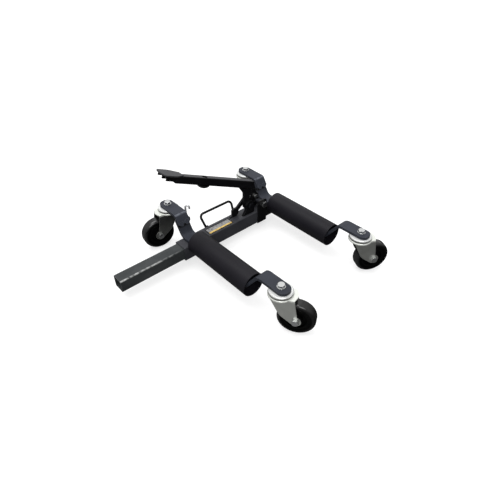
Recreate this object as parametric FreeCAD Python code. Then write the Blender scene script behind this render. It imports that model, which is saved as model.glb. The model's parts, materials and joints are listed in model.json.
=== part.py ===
import FreeCAD, Part
import math
import os

# Vehicle positioning jack: two rollers on arms that a foot pedal draws together under a tyre.
# X runs along the beam towards the far arm, Y runs back from the rollers, Z is up. Millimetres.

V = FreeCAD.Vector
X = V(1, 0, 0)
Y = V(0, 1, 0)
Z = V(0, 0, 1)

# Clearances shared by all pieces
RUN_FIT = 0.05          # radial play of a shaft that turns in a hole
BOLT_PLAY = 0.25        # radial play of a bolt that only passes through
SIDE_PLAY = 0.4         # gap between flat faces that pass each other
SWING_GAP = 1.0         # room between a swivelling wheel and what it passes

# Beam
BEAM_Z = 25.0           # ground clearance under the outer tube
INNER = 38.0            # side of the inner tube
INNER_WALL = 3.0
SLIDE_PLAY = 0.5        # play of the inner tube on each side
OUTER_WALL = 3.5
TUBE_CORNER = 3.0       # outside corner radius of both tubes
TUBE_BORE_CORNER = 1.0  # inside corner radius of both tubes
ARM_SPACING = 319.0     # distance between the two arms, closed
INNER_TAIL = 250.0      # inner tube beyond the near arm
OUTER_TAIL = 45.0       # outer tube beyond the near arm
INNER_HEAD = 24.0       # inner tube beyond the far arm
END_GAP = 2.4           # far roller to the end of the outer tube, closed

# Arms
BAR_W = 40.0
BAR_T = 8.0
BAR_BEND = 22.0         # bend radius on the middle of the bar
BRACKET_BEND = 9.0      # the same for the rear bracket, which is pressed sharper
BAR_TIP = 25.0          # bar beyond each king bolt
TIP_CORNER = 18.0       # corner radius of the bar's ends
FRONT_SLOPE = 55.0      # rise of the bar in front of the roller, degrees
FRONT_INSET = 10.0      # the bar starts to rise this far inside the roller
REAR_SLOPE = 57.0       # rise of the bar behind the beam, degrees
REAR_FOOT = 1.0         # foot of the rear rise beyond the beam's back face
LAP_LOW = 30.0          # foot of the upper lap plate above the bar's top
LAP_HIGH = 41.0         # top of the lower lap plate above the bar's top
LAP_BOLT_UP = 34.0      # lap bolts above the bar's top
LAP_BOLT_SPACING = 20.0
LAP_BOLT_R = 4.0

# Rollers
ROLLER_R = 35.0
ROLLER_WALL = 3.0
ROLLER_LEN = 242.0
ROLLER_GAP = 3.4        # gap between the roller and the beam
BUSH_W = 14.0
BUSH_INSET = 28.0       # bushing's outer face from the roller's end

# Casters
WHEEL_R = 50.0
WHEEL_W = 32.0
TREAD_CORNER = 9.0
TYRE_DEPTH = 17.0
TRAIL = 44.5            # axle behind the king bolt
HUB_SIDE_GAP = 1.0      # hub to fork leg
HUB_OVER = 1.5          # hub boss beyond the tyre's side
HUB_BOSS_R = 15.0
HUB_WEB = 12.0
HUB_RIM = 5.0
AXLE_R = 5.0
SLEEVE_WALL = 4.0
FORK_T = 3.0
FORK_HEAD = 16.5        # room above the tyre
FORK_BACK = 25.5        # legs behind the king bolt, at their top
FORK_FRONT = 38.0       # legs ahead of the king bolt, at their top
FORK_NOSE = 8.0         # how far the fork's top bows out ahead of the legs
FORK_TOE = 6.0          # front edge of a leg ahead of the axle
FORK_BELLY = 3.3        # belly of a leg's rear edge, ahead of the king bolt
FORK_BELLY_UP = 12.8    # the same, above the axle
FORK_BELLY_R = 45.0
FORK_EYE_R = 14.5       # round eye of a leg at the axle
DISH_R = 33.0           # pressed dish on top of the fork, at its foot
DISH_TOP_R = 31.5
DISH_H = 1.5
NECK_R = 27.5           # groove between the dish and the race
NECK_H = 2.6
RACE_R = 31.0
RACE_H = 6.0
KING_R = 5.0
HEADINGS = {"nf": -58.5, "ff": -29.5, "nr": 171.0, "fr": -80.0}

# Hex hardware: across flats and height for the three bolt sizes
HEX_L = 19.0
HEX_L_H = 7.5
HEX_M = 17.0
HEX_M_H = 7.0
HEX_S = 13.0
HEX_S_H = 5.5
HEX_CHAMFER = 30.0      # slope of the chamfer round a head's end, degrees
WASHER_R = 11.0
WASHER_T = 2.0

# Pedal, written along the lever from its pivot and square to it
PIVOT_IN = 61.1         # pivot from the right end of the outer tube
PIVOT_UP = 29.0         # pivot above the beam
PIVOT_R = 6.0
LEVER_TILT = 23.9       # lever above level in the raised position, degrees
LEVER_W = 23.0          # width of the lever tube
LEVER = 25.0            # depth of the lever tube at the heel
LEVER_TIP = 21.5        # depth of the lever tube at the pad
LEVER_WALL = 2.5
LEVER_LIFT = 55.0       # underside of the lever tube from the pivot, at the heel
LEVER_START = 18.0      # heel end of the lever tube, at its top
LEVER_MITRE = 21.0      # the heel end slants, and its underside reaches further by this
LEVER_END = 310.0
HEEL_T = 8.0
HEEL_R = 15.0
HEEL_KNEE = 37.0        # knee of the heel, along the lever and above the pivot
HEEL_TOE = 66.0         # heel's reach along the tube
HEEL_OUT = 28.0         # shoulder of the heel behind the pivot
HEEL_UP = 38.0          # the same, above the pivot
HEEL_ROUND = 11.0
HEEL_BOLT_IN = 10.0     # bolt in the heel's shoulder, from its outer corner
HEEL_BOLT_DOWN = 8.0
HEEL_BOLT_R = 4.0
HEEL_FRONT = -5.6       # front face of the heel
EAR_T = 8.0
EAR_R = 17.0
EAR_FLARE = 14.0        # extra width of the ear's foot
CLIP_R = 9.0            # snap ring on the pivot bolt
CLIP_T = 1.5
PAD_T = 3.5
PAD_LAP = 18.0          # pad on top of the lever's end
PAD_NECK = 28.0         # length over which the pad widens
PAD_OUT = 52.0          # pad beyond the lever's end
PAD_W = 48.0
PAD_CROWN = 8.0         # how far the pad's end bows out
RIB_T = 4.0             # the two ribs under the pad
RIB_LEN = 32.0          # deep part of a rib beyond the lever's end
RIB_H = 16.0
STEP_LEN = 14.0         # lower end of a rib beyond its deep part
STEP_H = 7.5
BUMPER_AT = 210.5
BUMPER_R = 20.0
BUMPER_H = 10.0
BUMPER_HOLE_R = 9.0     # access hole in the top of the lever
BUMPER_SCREW_R = 4.0

# Pawls
PAWL_Y = 8.0            # middle plane of the pawls
PAWL_T = 6.5
SLOT_W = 8.5
PAWL_LIFT = 0.8         # pawl tip above the inner tube when free
DRIVE_PIN_X = 6.0       # drive pawl pin ahead of the pedal pivot
DRIVE_PIN_UP = 28.0     # drive pawl pin above the pedal pivot
DRIVE_PIN_R = 4.0
DRIVE_EYE_R = 9.0
DRIVE_HEAD_R = 7.0
DRIVE_HEAD_T = 2.0
DRIVE_W = 14.0
DRIVE_FOOT_IN = 47.0    # middle of the pawl's foot block behind the pedal pivot
DRIVE_FOOT_W = 26.0
DRIVE_FOOT_H = 28.0
DRIVE_TIP_W = 8.0
DRIVE_STROKE = 18.0
RATCHET_PITCH = 15.0
RATCHET_SLOT = 8.0
RATCHET_COUNT = 19
CHEEK_T = 3.0
CHEEK_LEN = 38.0
CHEEK_UP = 38.0         # cheek above the beam
HOLD_PIN_IN = 14.0      # holding pawl bolt from the tube's end
HOLD_PIN_UP = 20.0      # holding pawl bolt above the beam
HOLD_EYE_R = 11.0
HOLD_REACH = 20.0       # holding pawl tip from its bolt
HOLD_TIP_W = 9.0
HOLD_TAB = 28.0         # release tab from the bolt
SPACER_WALL = 3.0

# Carry handle
ROD_R = 3.8
HANDLE_X = -33.0
HANDLE_W = 126.0
HANDLE_BEND = 12.0
HANDLE_OUT = 24.0       # grip behind the beam's back face
HANDLE_FOOT_DOWN = 10.0  # feet below the beam's top
HANDLE_UP = 33.0        # grip above the beam's top
HANDLE_SPLAY = 9.0      # each leg leans out by this much

# Lock pin
PIN_R = 3.0
PIN_UP = 31.0           # straight part of the pin above its lug
PIN_HOOK_R = 6.0
PIN_HOOK_DROP = 5.0
PIN_COLLAR_R = 4.5
PIN_COLLAR_H = 3.0
LUG_H = 10.0
LUG_SET = 4.0           # front of the lug behind the middle of the lower lap plate
LUG_D = 22.3            # back of the lug behind the same
LUG_W = 9.0
LUG_UP = 24.0           # lug above the bar's top


# Places worked out from the sizes above
OUTER = INNER + 2 * (SLIDE_PLAY + OUTER_WALL)
BEAM_TOP = BEAM_Z + OUTER
BEAM_MID = BEAM_Z + OUTER / 2
INNER_TOP = BEAM_MID + INNER / 2
BAR_TOP = BEAM_TOP + BAR_T
ROLLER_Z = BEAM_TOP + BAR_T / 2
NEAR_X = -ARM_SPACING / 2
FAR_X = ARM_SPACING / 2
OUTER_LEFT = NEAR_X - OUTER_TAIL
OUTER_RIGHT = FAR_X - ROLLER_R - END_GAP
INNER_LEFT = NEAR_X - INNER_TAIL
INNER_RIGHT = FAR_X + INNER_HEAD
ROLLER_BACK = -OUTER / 2 - ROLLER_GAP
ROLLER_FRONT = ROLLER_BACK - ROLLER_LEN
REACH = TRAIL + WHEEL_R + SWING_GAP
FRONT_KING = ROLLER_FRONT - REACH
REAR_KING = OUTER / 2 + REACH
FORK_LOW = 2 * WHEEL_R + FORK_HEAD
FORK_TOP = FORK_LOW + FORK_T + DISH_H + NECK_H
BAR_HIGH = FORK_TOP + SIDE_PLAY + RACE_H
HUB_W = WHEEL_W + 2 * HUB_OVER
FORK_IN = HUB_W / 2 + HUB_SIDE_GAP
FORK_OUT = FORK_IN + FORK_T
SLEEVE_R = AXLE_R + SLEEVE_WALL
RIM_R = WHEEL_R - TYRE_DEPTH
PIVOT_X = OUTER_RIGHT - PIVOT_IN
PIVOT_Z = BEAM_TOP + PIVOT_UP
PAD_START = LEVER_END - PAD_LAP
PAD_END = LEVER_END + PAD_OUT
RIB_END = LEVER_END + RIB_LEN
STEP_END = RIB_END + STEP_LEN
BUMPER_DOME = (BUMPER_R ** 2 + BUMPER_H ** 2) / (2 * BUMPER_H)
LEVER_HEEL = LEVER_START - LEVER_MITRE
DRIVE_FOOT_X = PIVOT_X - DRIVE_FOOT_IN
HEEL_BACK = HEEL_FRONT + HEEL_T
EAR_BACK = HEEL_FRONT - SIDE_PLAY
EAR_FRONT = EAR_BACK - EAR_T
PAWL_TIP = INNER_TOP + PAWL_LIFT
CHEEK_IN = OUTER / 2
HOLD_X = OUTER_RIGHT - HOLD_PIN_IN
HOLD_Z = BEAM_TOP + HOLD_PIN_UP

NODES = {}


def box(x0, x1, y0, y1, z0, z1):
    return Part.makeBox(x1 - x0, y1 - y0, z1 - z0, V(x0, y0, z0))


def rod(radius, start, direction, length):
    return Part.makeCylinder(radius, length, start, direction)


def ring(outer, inner, start, direction, length):
    return rod(outer, start, direction, length).cut(rod(inner, start, direction, length))


def fuse(shapes):
    return shapes[0].multiFuse(shapes[1:]).removeSplitter()


def rounded_face(corners, place):
    """Flat face with straight sides; each corner is (a, b, radius), place maps (a, b) to space."""
    spans = []
    for i, (a, b, radius) in enumerate(corners):
        here = V(a, b, 0)
        back = V(*corners[i - 1][:2], 0) - here
        ahead = V(*corners[(i + 1) % len(corners)][:2], 0) - here
        back.normalize()
        ahead.normalize()
        half = back.getAngle(ahead) / 2
        run = radius / math.tan(half)
        middle = (back + ahead).normalize() * (radius / math.sin(half) - radius)
        spans.append((here + back * run, here + middle, here + ahead * run, radius))
    edges = []
    for i, (start, middle, end, radius) in enumerate(spans):
        if radius > 0:
            arc = Part.Arc(place(start.x, start.y), place(middle.x, middle.y), place(end.x, end.y))
            edges.append(arc.toShape())
        following = spans[(i + 1) % len(spans)][0]
        if end.distanceToPoint(following) > 1e-6:
            edges.append(Part.makeLine(place(end.x, end.y), place(following.x, following.y)))
    return Part.Face(Part.Wire(edges))


def plate_xz(corners, y0, y1):
    return rounded_face(corners, lambda a, b: V(a, y0, b)).extrude(V(0, y1 - y0, 0))


def plate_xy(corners, z0, z1):
    return rounded_face(corners, lambda a, b: V(a, b, z0)).extrude(V(0, 0, z1 - z0))


def rectangle(a0, a1, b0, b1, radius):
    return [(a0, b0, radius), (a1, b0, radius), (a1, b1, radius), (a0, b1, radius)]


def strip_corners(path, thickness, bend):
    """Outline of a bent flat bar whose middle line follows the (a, b) points of path."""
    points = [V(a, b, 0) for a, b in path]
    sides = []
    for sign in (1, -1):
        side = []
        for i, point in enumerate(points):
            ins = points[i] - points[i - 1] if i > 0 else points[1] - points[0]
            outs = points[i + 1] - points[i] if i < len(points) - 1 else ins
            n1 = V(-ins.y, ins.x, 0).normalize()
            n2 = V(-outs.y, outs.x, 0).normalize()
            miter = (n1 + n2) * (1 / (1 + n1.dot(n2)))
            turn = ins.x * outs.y - ins.y * outs.x
            radius = 0
            if 0 < i < len(points) - 1:
                radius = bend - math.copysign(thickness / 2, turn * sign)
            shifted = point + miter * (sign * thickness / 2)
            side.append((shifted.x, shifted.y, radius))
        sides.append(side)
    return sides[0] + sides[1][::-1]


def bent_bar(path, x, tips, bend):
    """Flat bar along X = x, bent along path in the YZ plane, with the given ends rounded in plan."""
    x0 = x - BAR_W / 2
    face = rounded_face(strip_corners(path, BAR_T, bend), lambda a, b: V(x0, a, b))
    solid = face.extrude(V(BAR_W, 0, 0))
    y_low = min(a for a, b in path) - BAR_T
    y_high = max(a for a, b in path) + BAR_T
    low_r = 0
    high_r = 0
    if "front" in tips:
        y_low = path[-1][0]
        low_r = TIP_CORNER
    if "rear" in tips:
        y_high = path[0][0]
        high_r = TIP_CORNER
    x1 = x + BAR_W / 2
    outline = [(x0, y_low, low_r), (x1, y_low, low_r), (x1, y_high, high_r), (x0, y_high, high_r)]
    return solid.common(plate_xy(outline, 0, 2 * BAR_HIGH))


def hex_prism(flats, height, start, direction):
    """Hexagonal head or nut with one pair of flats square to the second axis."""
    radius = flats / math.sqrt(3)
    corners = [V(radius * math.cos(k * math.pi / 3), radius * math.sin(k * math.pi / 3), 0) for k in range(7)]
    solid = Part.Face(Part.makePolygon(corners)).extrude(V(0, 0, height))
    spread = height / math.tan(math.radians(HEX_CHAMFER))
    solid = solid.common(Part.makeCone(flats / 2 + spread, flats / 2, height))
    solid = solid.common(Part.makeCone(flats / 2, flats / 2 + spread, height))
    solid.Placement = FreeCAD.Placement(start, FreeCAD.Rotation(Z, direction))
    return solid


def square_tube(side, wall, x0, x1, middle):
    half = side / 2
    inner = half - wall
    outside = rectangle(-half, half, middle - half, middle + half, TUBE_CORNER)
    inside = rectangle(-inner, inner, middle - inner, middle + inner, TUBE_BORE_CORNER)
    solid = rounded_face(outside, lambda a, b: V(x0, a, b)).extrude(V(x1 - x0, 0, 0))
    return solid.cut(rounded_face(inside, lambda a, b: V(x0, a, b)).extrude(V(x1 - x0, 0, 0)))


def beam():
    slot_y0 = PAWL_Y - SLOT_W / 2
    slot_y1 = PAWL_Y + SLOT_W / 2
    outer = square_tube(OUTER, OUTER_WALL, OUTER_LEFT, OUTER_RIGHT, BEAM_MID)
    tip_x0 = DRIVE_FOOT_X - DRIVE_TIP_W / 2
    drive_slot = box(tip_x0 - DRIVE_STROKE - SWING_GAP, tip_x0 + DRIVE_TIP_W + SWING_GAP,
                     slot_y0, slot_y1, BEAM_MID, BEAM_TOP + SWING_GAP)
    hold_x1 = HOLD_X - HOLD_REACH + HOLD_TIP_W + SWING_GAP
    hold_slot = box(hold_x1 - HOLD_TIP_W - 4 * SWING_GAP, hold_x1,
                    slot_y0, slot_y1, BEAM_MID, BEAM_TOP + SWING_GAP)
    NODES["outer_tube"] = outer.cut(drive_slot).cut(hold_slot)

    inner = square_tube(INNER, INNER_WALL, INNER_LEFT, INNER_RIGHT, BEAM_MID)
    first = HOLD_X - HOLD_REACH - RATCHET_SLOT / 2
    slots = []
    for k in range(RATCHET_COUNT):
        x0 = first - k * RATCHET_PITCH
        slots.append(box(x0, x0 + RATCHET_SLOT, slot_y0, slot_y1, BEAM_MID, BEAM_TOP))
    NODES["inner_tube"] = inner.cut(Part.makeCompound(slots))


def arm(name, x):
    """Flat bar under the front caster, through the roller and up behind the beam, with its rear bracket."""
    slope_f = math.tan(math.radians(FRONT_SLOPE))
    slope_r = math.tan(math.radians(REAR_SLOPE))
    lean = BAR_T / math.sin(math.radians(REAR_SLOPE))
    bar_high_mid = BAR_HIGH + BAR_T / 2
    foot_y = OUTER / 2 + REAR_FOOT
    lap_y = foot_y + (BAR_T / 2 + LAP_HIGH) / slope_r
    rise_y = ROLLER_FRONT + FRONT_INSET
    crest_y = rise_y - (bar_high_mid - ROLLER_Z) / slope_f
    path = [(lap_y, BAR_TOP + LAP_HIGH), (foot_y, ROLLER_Z), (rise_y, ROLLER_Z), (crest_y, bar_high_mid),
            (FRONT_KING - BAR_TIP, bar_high_mid)]
    bar = bent_bar(path, x, ("front",), BAR_BEND)
    upper_y = foot_y - lean
    low = (upper_y + (BAR_T / 2 + LAP_LOW) / slope_r, BAR_TOP + LAP_LOW)
    crease = (upper_y + (bar_high_mid - ROLLER_Z) / slope_r, bar_high_mid)
    bracket = bent_bar([(REAR_KING + BAR_TIP, bar_high_mid), crease, low], x, ("rear",), BRACKET_BEND)

    king_hole_r = KING_R + BOLT_PLAY
    bar = bar.cut(rod(king_hole_r, V(x, FRONT_KING, BAR_HIGH), Z, BAR_T))
    bracket = bracket.cut(rod(king_hole_r, V(x, REAR_KING, BAR_HIGH), Z, BAR_T))

    back = V(0, math.sin(math.radians(REAR_SLOPE)), -math.cos(math.radians(REAR_SLOPE)))
    bolts = []
    for side in (-1, 1):
        bolt_x = x + side * LAP_BOLT_SPACING / 2
        face_y = upper_y - lean / 2 + (BAR_T / 2 + LAP_BOLT_UP) / slope_r
        face = V(bolt_x, face_y, BAR_TOP + LAP_BOLT_UP)
        hole = rod(LAP_BOLT_R + BOLT_PLAY, face - back * BAR_T, back, 4 * BAR_T)
        bar = bar.cut(hole)
        bracket = bracket.cut(hole)
        sink = Part.makeCone(2 * LAP_BOLT_R + BOLT_PLAY, LAP_BOLT_R + BOLT_PLAY, LAP_BOLT_R, face, back)
        bracket = bracket.cut(sink)
        head = Part.makeCone(2 * LAP_BOLT_R, LAP_BOLT_R, LAP_BOLT_R, face, back)
        nut = hex_prism(HEX_S, HEX_S_H, face + back * 2 * BAR_T, back)
        shank = rod(LAP_BOLT_R, face, back, 2 * BAR_T)
        bolts.append(fuse([head, shank, nut]))
    NODES[name + "_arm_bar"] = bar
    NODES[name + "_rear_bracket"] = bracket
    NODES[name + "_lap_bolts"] = Part.makeCompound(bolts)

    bush_r = ROLLER_R - ROLLER_WALL - RUN_FIT
    bushes = []
    for y in (ROLLER_BACK - BUSH_INSET, ROLLER_FRONT + BUSH_INSET + BUSH_W):
        disc = rod(bush_r, V(x, y, ROLLER_Z), Y * -1, BUSH_W)
        gap = box(x - BAR_W / 2, x + BAR_W / 2, y - BUSH_W, y, ROLLER_Z - BAR_T / 2, ROLLER_Z + BAR_T / 2)
        bushes.append(disc.cut(gap))
    NODES[name + "_bushings"] = Part.makeCompound(bushes)
    front = V(x, ROLLER_FRONT, ROLLER_Z)
    NODES[name + "_roller"] = ring(ROLLER_R, ROLLER_R - ROLLER_WALL, front, Y, ROLLER_LEN)

    races = []
    kings = []
    for y in (FRONT_KING, REAR_KING):
        race = rod(RACE_R, V(x, y, BAR_HIGH - RACE_H), Z, RACE_H)
        race = race.makeChamfer(RACE_H / 3, [race.Edges[0], race.Edges[2]])
        races.append(race.cut(rod(king_hole_r, V(x, y, BAR_HIGH - RACE_H), Z, RACE_H)))
        top = BAR_HIGH + BAR_T
        nut_top = FORK_LOW - SIDE_PLAY
        washer = rod(WASHER_R, V(x, y, top), Z, WASHER_T)
        head = hex_prism(HEX_M, HEX_M_H, V(x, y, top + WASHER_T), Z)
        nut = hex_prism(HEX_M, HEX_M_H, V(x, y, nut_top - HEX_M_H), Z)
        shank = rod(KING_R, V(x, y, nut_top - HEX_M_H), Z, top - nut_top + HEX_M_H)
        kings.append(fuse([head, washer, shank, nut]))
    NODES[name + "_races"] = Part.makeCompound(races)
    NODES[name + "_king_bolts"] = Part.makeCompound(kings)


def far_seat():
    half = INNER / 2 - TUBE_CORNER
    NODES["far_seat"] = box(FAR_X - BAR_W / 2, FAR_X + BAR_W / 2, -half, half, INNER_TOP, BEAM_TOP)


def revolve_y(corners):
    face = rounded_face(corners, lambda a, b: V(b, a, 0))
    return face.revolve(V(0, 0, 0), Y, 360)


def caster(name, x, y):
    """Swivel caster built with its king bolt on the Z axis and its wheel towards +X, then turned."""
    dish_low = FORK_LOW + FORK_T
    belly = V(FORK_BELLY, WHEEL_R + FORK_BELLY_UP, 0)
    to_axle = V(TRAIL, WHEEL_R, 0) - belly
    fall = math.atan2(to_axle.y, to_axle.x) - math.asin(FORK_EYE_R / to_axle.Length)
    toe = belly + V(math.cos(fall), math.sin(fall), 0) * math.sqrt(to_axle.Length ** 2 - FORK_EYE_R ** 2)
    leg = [(-FORK_BACK, dish_low, FORK_T), (FORK_FRONT, dish_low, 0), (TRAIL + FORK_TOE, WHEEL_R, 0),
           (toe.x, toe.y, 0), (belly.x, belly.y, FORK_BELLY_R)]
    top = [(-FORK_BACK, -FORK_OUT, FORK_T), (FORK_FRONT, -FORK_OUT, 0),
           (FORK_FRONT + FORK_NOSE, 0, FORK_OUT), (FORK_FRONT, FORK_OUT, 0), (-FORK_BACK, FORK_OUT, FORK_T)]
    pieces = [plate_xy(top, FORK_LOW, dish_low), rod(DISH_R, V(0, 0, FORK_LOW), Z, FORK_T),
              Part.makeCone(DISH_R, DISH_TOP_R, DISH_H, V(0, 0, dish_low)),
              rod(NECK_R, V(0, 0, dish_low), Z, DISH_H + NECK_H)]
    for y0 in (-FORK_OUT, FORK_IN):
        pieces.append(plate_xz(leg, y0, y0 + FORK_T))
        pieces.append(rod(FORK_EYE_R, V(TRAIL, y0, WHEEL_R), Y, FORK_T))
    body = fuse(pieces).cut(rod(KING_R + RUN_FIT, V(0, 0, FORK_LOW), Z, FORK_TOP - FORK_LOW))
    axle_hole = rod(AXLE_R + BOLT_PLAY, V(TRAIL, -FORK_OUT, WHEEL_R), Y, 2 * FORK_OUT)
    fork = body.cut(axle_hole)

    shank = rod(AXLE_R, V(TRAIL, -FORK_OUT, WHEEL_R), Y, 2 * FORK_OUT)
    head = hex_prism(HEX_M, HEX_M_H, V(TRAIL, -FORK_OUT - HEX_M_H, WHEEL_R), Y)
    nut = hex_prism(HEX_M, HEX_M_H, V(TRAIL, FORK_OUT, WHEEL_R), Y)
    sleeve = ring(SLEEVE_R, AXLE_R, V(TRAIL, -FORK_IN, WHEEL_R), Y, 2 * FORK_IN)
    axle = fuse([shank, head, nut, sleeve])

    half = WHEEL_W / 2
    bead = half - HUB_OVER
    tyre = revolve_y([(-bead, RIM_R, 0), (-half, RIM_R + HUB_RIM, HUB_OVER), (-half, WHEEL_R, TREAD_CORNER),
                      (half, WHEEL_R, TREAD_CORNER), (half, RIM_R + HUB_RIM, HUB_OVER), (bead, RIM_R, 0)])
    bore = SLEEVE_R + RUN_FIT
    web = HUB_WEB / 2
    side = [(HUB_W / 2, bore, 0), (HUB_W / 2, HUB_BOSS_R, HUB_OVER), (web, HUB_BOSS_R + HUB_OVER, HUB_OVER),
            (web, RIM_R - HUB_RIM, HUB_OVER), (bead, RIM_R - HUB_RIM, 0), (bead, RIM_R, 0)]
    hub = revolve_y(side + [(-a, b, r) for a, b, r in side[::-1]])

    place = FreeCAD.Placement(V(x, y, 0), FreeCAD.Rotation(Z, HEADINGS[name]))
    for piece, solid in (("fork", fork), ("axle", axle), ("tyre", tyre), ("hub", hub)):
        if piece in ("tyre", "hub"):
            solid.translate(V(TRAIL, 0, WHEEL_R))
        solid.Placement = place.multiply(solid.Placement)
        NODES["caster_" + name + "_" + piece] = solid


def raised(solid):
    """Turns a piece of the lever from level to its raised position."""
    solid.rotate(V(PIVOT_X, 0, PIVOT_Z), Y, LEVER_TILT)
    return solid


def underside(along):
    """Underside of the tapered lever above the pivot, at a distance along the lever."""
    return LEVER_LIFT + (LEVER - LEVER_TIP) * (along - LEVER_START) / (LEVER_END - LEVER_START)


def lever_prism(half_width, inset):
    """Level, solid form of the tapered lever, drawn in above and below by inset, and out at the ends."""
    top = LEVER_LIFT + LEVER - inset
    outline = [(LEVER_HEEL - inset, underside(LEVER_HEEL) + inset),
               (LEVER_END + inset, underside(LEVER_END) + inset), (LEVER_END + inset, top),
               (LEVER_START - inset, top)]
    return plate_xz([(PIVOT_X - a, PIVOT_Z + b, 0) for a, b in outline], -half_width, half_width)


def pedal():
    top = LEVER_LIFT + LEVER
    outside = lever_prism(LEVER_W / 2, 0)
    long_edges = [edge for edge in outside.Edges if edge.Length > (LEVER_END - LEVER_START) / 2]
    tube = outside.makeFillet(TUBE_CORNER, long_edges).cut(lever_prism(LEVER_W / 2 - LEVER_WALL, LEVER_WALL))
    bumper_x = PIVOT_X - BUMPER_AT
    low = PIVOT_Z + underside(BUMPER_AT)
    tube = tube.cut(rod(BUMPER_HOLE_R, V(bumper_x, 0, low + LEVER_TIP / 2), Z, LEVER))
    tube = tube.cut(rod(BUMPER_SCREW_R + BOLT_PLAY, V(bumper_x, 0, low - LEVER_TIP / 2), Z, LEVER_TIP))
    nut = hex_prism(HEX_S, HEX_S_H, V(bumper_x, 0, low + LEVER_WALL), Z).cut(tube)
    NODES["pedal_tube"] = raised(tube)

    half = PAD_W / 2
    neck = LEVER_W / 2
    outline = []
    for side in (-1, 1):
        edge = [(PIVOT_X - PAD_START, side * neck, 0),
                (PIVOT_X - PAD_START - PAD_NECK, side * half, PAD_NECK),
                (PIVOT_X - PAD_END + PAD_CROWN, side * half, PAD_T)]
        outline += edge if side < 0 else [(PIVOT_X - PAD_END, 0, PAD_W)] + edge[::-1]
    pad = plate_xy(outline, PIVOT_Z + top, PIVOT_Z + top + PAD_T)
    NODES["pedal_pad"] = raised(pad)
    outline = [(LEVER_END, 0), (LEVER_END, RIB_H), (RIB_END, RIB_H), (RIB_END, STEP_H),
               (STEP_END, STEP_H), (STEP_END, 0)]
    corners = [(PIVOT_X - s, PIVOT_Z + top - n, 0) for s, n in outline]
    ribs = [plate_xz(corners, y0, y0 + RIB_T) for y0 in (-neck, neck - RIB_T)]
    NODES["pedal_ribs"] = raised(Part.makeCompound(ribs))

    dome = Part.makeSphere(BUMPER_DOME, V(bumper_x, 0, low - BUMPER_H + BUMPER_DOME))
    bumper = dome.common(rod(BUMPER_R, V(bumper_x, 0, low - BUMPER_H), Z, 2 * BUMPER_H))
    bumper = bumper.cut(lever_prism(2 * BUMPER_R, 0))
    seat = low - BUMPER_H / 2
    bumper = bumper.cut(rod(BUMPER_SCREW_R, V(bumper_x, 0, seat), Z, 2 * BUMPER_H))
    NODES["pedal_bumper"] = raised(bumper)
    screw = rod(BUMPER_SCREW_R, V(bumper_x, 0, seat), Z, BUMPER_H / 2 + LEVER_WALL + HEX_S_H)
    NODES["bumper_screw"] = raised(fuse([nut, screw]))

    drive_s, drive_n = drive_pin_on_lever()
    pin_hole = rod(DRIVE_PIN_R + BOLT_PLAY, V(PIVOT_X - drive_s, HEEL_FRONT, PIVOT_Z + drive_n), Y, HEEL_T)
    pivot_hole = rod(PIVOT_R + RUN_FIT, V(PIVOT_X, HEEL_FRONT, PIVOT_Z), Y, HEEL_T)
    foot_round = HEEL_R - SIDE_PLAY
    outline = [(LEVER_HEEL, underside(LEVER_HEEL), 0), (HEEL_TOE, underside(HEEL_TOE), 0),
               (HEEL_KNEE, HEEL_KNEE, HEEL_R), (HEEL_R, -HEEL_R, foot_round),
               (-HEEL_R, -HEEL_R, foot_round), (-HEEL_OUT, HEEL_UP, HEEL_ROUND)]
    corners = [(PIVOT_X - s, PIVOT_Z + n, r) for s, n, r in outline]
    heel = plate_xz(corners, HEEL_FRONT, HEEL_BACK).cut(pin_hole).cut(pivot_hole)
    bolt_at = V(PIVOT_X + HEEL_OUT - HEEL_BOLT_IN, HEEL_FRONT, PIVOT_Z + HEEL_UP - HEEL_BOLT_DOWN)
    heel = heel.cut(rod(HEEL_BOLT_R + BOLT_PLAY, bolt_at, Y, HEEL_T))
    NODES["pedal_heel"] = raised(heel)
    head = hex_prism(HEX_S, HEX_S_H, bolt_at - Y * HEX_S_H, Y)
    nut = hex_prism(HEX_S, HEX_S_H, bolt_at + Y * HEEL_T, Y)
    NODES["heel_bolt"] = raised(fuse([head, rod(HEEL_BOLT_R, bolt_at, Y, HEEL_T), nut]))


def drive_pin_on_lever():
    """Drive pin in the lever's own directions: along it from the pivot, and square to it."""
    tilt = math.radians(LEVER_TILT)
    along = -DRIVE_PIN_X * math.cos(tilt) + DRIVE_PIN_UP * math.sin(tilt)
    square = DRIVE_PIN_X * math.sin(tilt) + DRIVE_PIN_UP * math.cos(tilt)
    return along, square


def pedal_mount():
    """Ear on the beam that carries the pedal; the bolt turns in the heel behind it."""
    left = PIVOT_X - EAR_R
    right = PIVOT_X + EAR_R
    top = PIVOT_Z + EAR_R
    ear = [(left - EAR_FLARE, BEAM_TOP, 0), (right, BEAM_TOP, 0), (right, top, EAR_R - SIDE_PLAY),
           (left, top, EAR_R - SIDE_PLAY), (left, BEAM_TOP + EAR_R, EAR_R)]
    hole = rod(PIVOT_R + BOLT_PLAY, V(PIVOT_X, EAR_FRONT, PIVOT_Z), Y, EAR_T)
    NODES["pedal_ear"] = plate_xz(ear, EAR_FRONT, EAR_BACK).cut(hole)
    head = hex_prism(HEX_L, HEX_L_H, V(PIVOT_X, EAR_FRONT - HEX_L_H, PIVOT_Z), Y)
    clip_y = HEEL_BACK + SIDE_PLAY
    shank = rod(PIVOT_R, V(PIVOT_X, EAR_FRONT, PIVOT_Z), Y, clip_y + CLIP_T - EAR_FRONT)
    clip = rod(CLIP_R, V(PIVOT_X, clip_y, PIVOT_Z), Y, CLIP_T)
    NODES["pivot_bolt"] = fuse([head, shank, clip])


def through_bolt(radius, x, z, out):
    """Bolt along Y through two plates whose outer faces lie at -out and +out."""
    head = hex_prism(HEX_L, HEX_L_H, V(x, -out - HEX_L_H, z), Y)
    nut = hex_prism(HEX_L, HEX_L_H, V(x, out, z), Y)
    return fuse([head, rod(radius, V(x, -out, z), Y, 2 * out), nut])


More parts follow.
